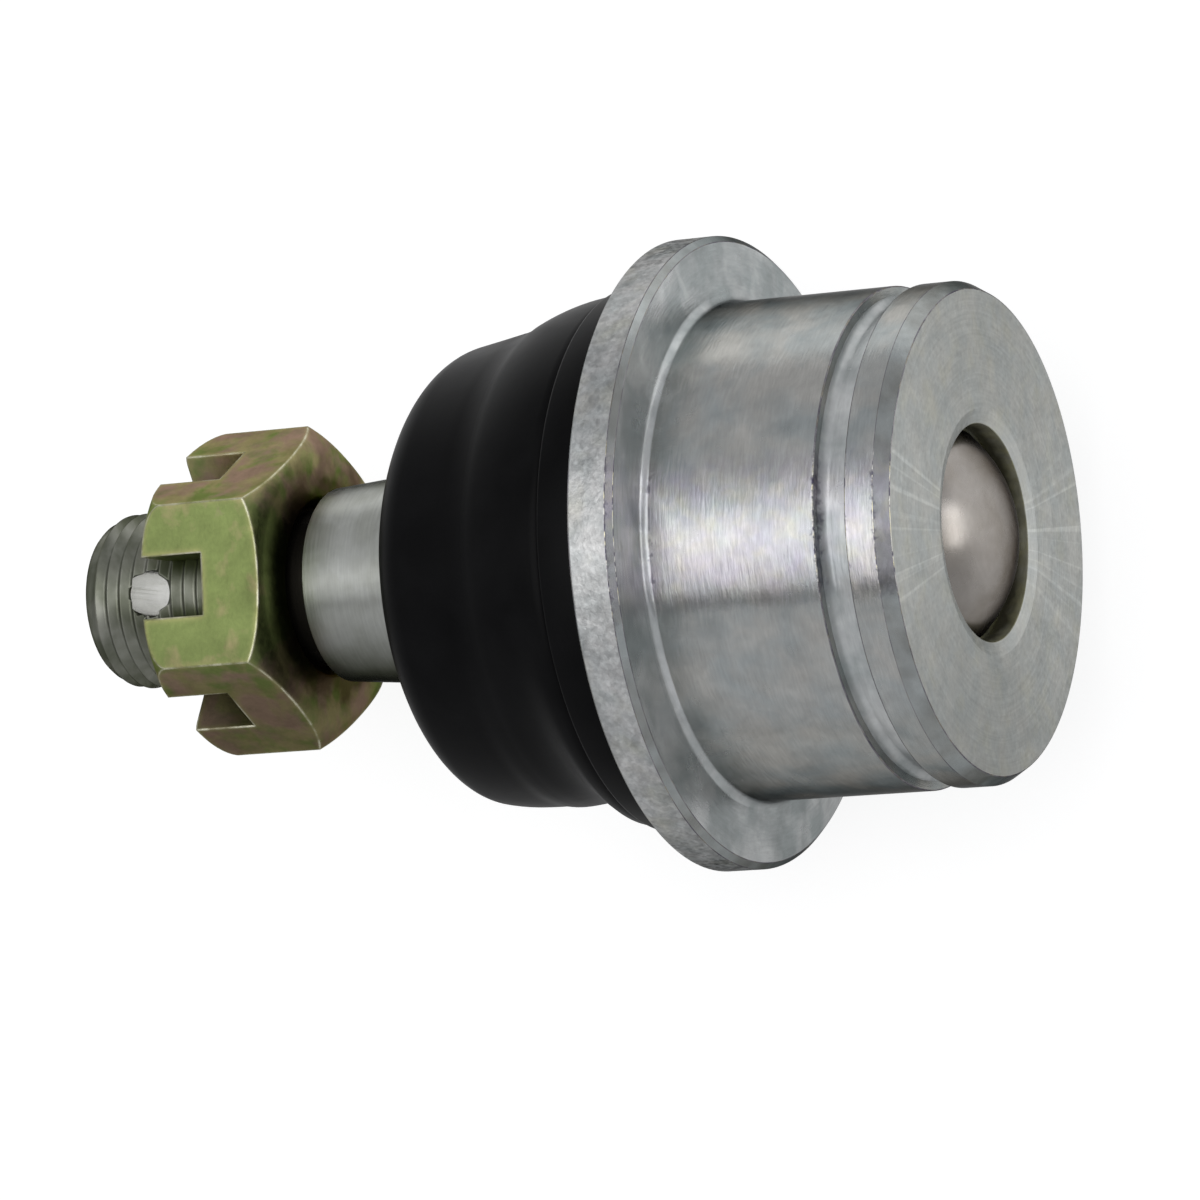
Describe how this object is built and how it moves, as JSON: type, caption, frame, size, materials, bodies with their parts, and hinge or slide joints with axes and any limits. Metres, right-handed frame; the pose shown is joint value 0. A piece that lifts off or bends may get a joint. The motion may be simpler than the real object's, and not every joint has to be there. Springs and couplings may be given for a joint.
{
  "type": "suspension ball joint",
  "caption": "Press-in suspension ball joint: grooved journal with flange, ball stud seen through the end face, rubber dust boot and slotted nut on a tapered, cross-drilled stud.",
  "frame": {"origin": "centre of the ball, on the axis of the press-in journal", "axes": "+X along the journal's axis, out of the end face away from the stud; +Z along the stud's cross hole, through two flats of the nut"},
  "size_m": [0.1044, 0.066, 0.066],
  "materials": {
    "zinc_steel": "turned steel with clear zinc plate",
    "bearing_steel": "hardened and ground",
    "spring_steel": "oiled spring steel",
    "stud_steel": "ground bare steel",
    "yellow_zinc": "yellow chromate zinc plate",
    "rubber": "matt moulded rubber"
  },
  "bodies": {
    "housing": {"housing": "zinc_steel", "lower_bearing": "bearing_steel", "upper_bearing": "bearing_steel", "preload_washer": "spring_steel", "closing_ring": "zinc_steel", "boot_base_ring": "spring_steel"},
    "boot": {"dust_boot": "rubber"},
    "boot_neck": {"boot_neck_ring": "spring_steel"},
    "stud": {"ball_stud": "stud_steel", "castle_nut": "yellow_zinc"}
  },
  "joints": [
    {"name": "tilt_y", "type": "hinge", "parent": "housing", "child": "boot", "pos_m": [0, 0, 0], "axis": [0, 1, 0], "range_deg": [-15, 15], "deforming": ["dust_boot"]},
    {"name": "tilt_z", "type": "hinge", "parent": "boot", "child": "boot_neck", "pos_m": [0, 0, 0], "axis": [0, 0, 1], "range_deg": [-15, 15], "deforming": ["dust_boot"]},
    {"name": "stud_spin", "type": "hinge", "parent": "boot_neck", "child": "stud", "pos_m": [0, 0, 0], "axis": [1, 0, 0], "continuous": true}
  ]
}
